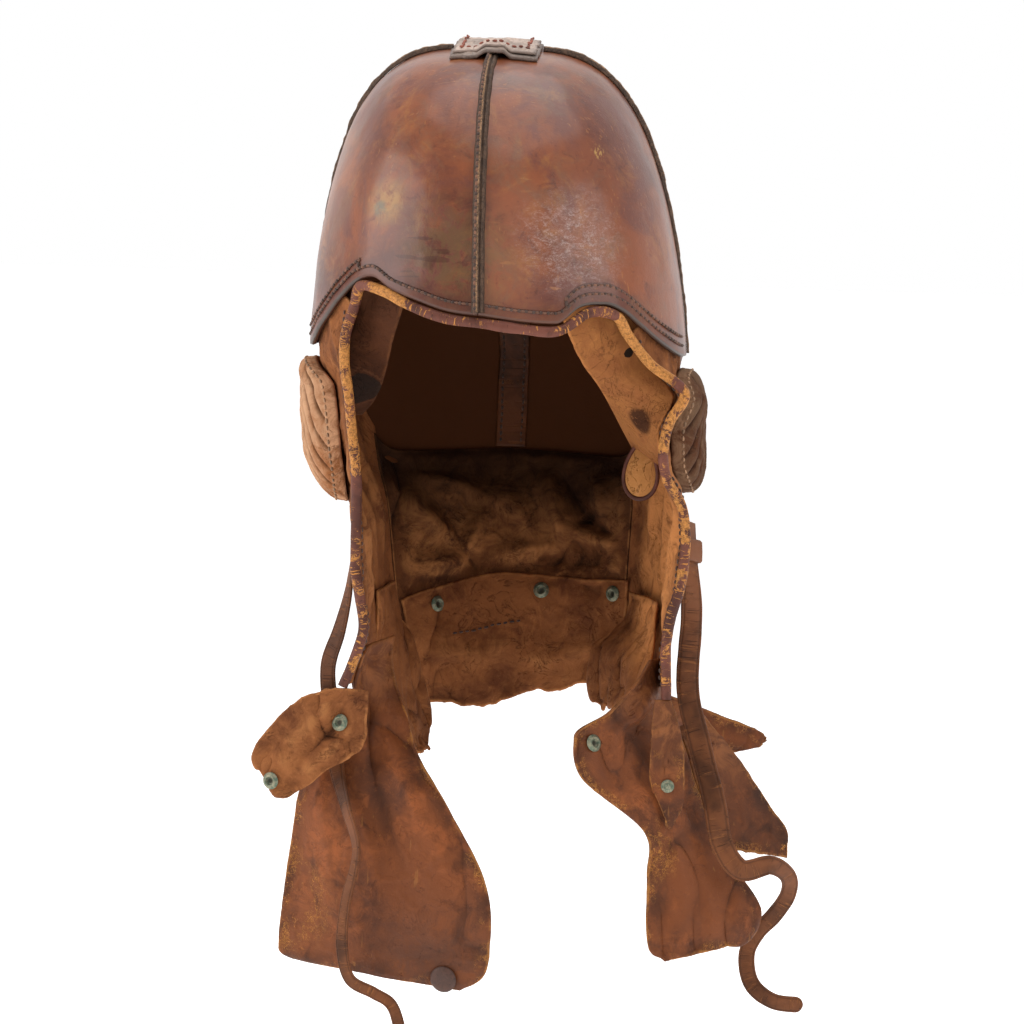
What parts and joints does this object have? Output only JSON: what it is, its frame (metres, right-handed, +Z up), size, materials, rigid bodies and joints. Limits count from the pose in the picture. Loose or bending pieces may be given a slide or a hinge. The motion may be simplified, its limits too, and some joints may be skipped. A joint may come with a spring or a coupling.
{
  "type": "leather flying helmet",
  "caption": "Worn leather flying helmet with a hard sewn shell, padded ear domes, soft cheeks and nape wall, hanging throat flaps, chin tabs and straps",
  "frame": {"origin": "middle of the head opening at brow level, where a head carries the helmet", "axes": "+Z up to the crown, the face looks along -Y, +X is the wearer's left"},
  "size_m": [0.2715, 0.2316, 0.4928],
  "materials": {
    "shell_leather": "polished red-brown hide, stained and scratched",
    "welt_leather": "dark olive-brown edge leather with a worn crest",
    "patch_leather": "pinkish grey-brown worn leather",
    "tape_leather": "dark purple-brown tape",
    "binding_leather": "rolled dark leather with golden cracks",
    "suede": "wrinkled brown suede",
    "lining_suede": "tan suede",
    "smooth_lining": "smooth dark leather",
    "flap_leather": "smooth grain, orange-brown and cracked",
    "strap_leather": "dark strap leather with cross cracks",
    "stud_metal": "tarnished greenish brass"
  },
  "bodies": {
    "root": {"shell_front_right": "shell_leather", "shell_front_left": "shell_leather", "shell_back_right": "shell_leather", "shell_back_left": "shell_leather", "seam_welt_front": "welt_leather", "seam_welt_back": "welt_leather", "seam_welt_right": "welt_leather", "seam_welt_left": "welt_leather", "crown_patch_lower": "welt_leather", "crown_patch_upper": "patch_leather", "back_seam_tape": "tape_leather", "face_binding": "binding_leather", "cheek_panel_right": "suede", "cheek_panel_left": "suede", "ear_lining_right": "smooth_lining", "ear_lining_left": "smooth_lining", "ear_pad_right": "suede", "ear_pad_left": "suede", "temple_lining_right": "lining_suede", "temple_lining_left": "lining_suede", "nape_curtain": "suede", "cape_back": "suede", "cape_side_right": "suede", "cape_side_left": "suede", "cape_side_tab": "flap_leather", "throat_flap_right": "flap_leather", "throat_flap_left": "flap_leather", "throat_flap_left_fold": "flap_leather", "chin_tab_right": "suede", "chin_tab_left": "flap_leather", "strap_right": "strap_leather", "strap_left": "strap_leather", "strap_keeper_left": "strap_leather", "cape_stud_1": "stud_metal", "cape_stud_2": "stud_metal", "cape_stud_3": "stud_metal", "flap_cap_right": "stud_metal", "flap_stud_right": "stud_metal", "flap_stud_left_upper": "stud_metal", "flap_stud_left_lower": "stud_metal", "tab_socket_right_upper": "stud_metal", "tab_socket_right_lower": "stud_metal", "tab_stud_left": "stud_metal"}
  },
  "joints": []
}
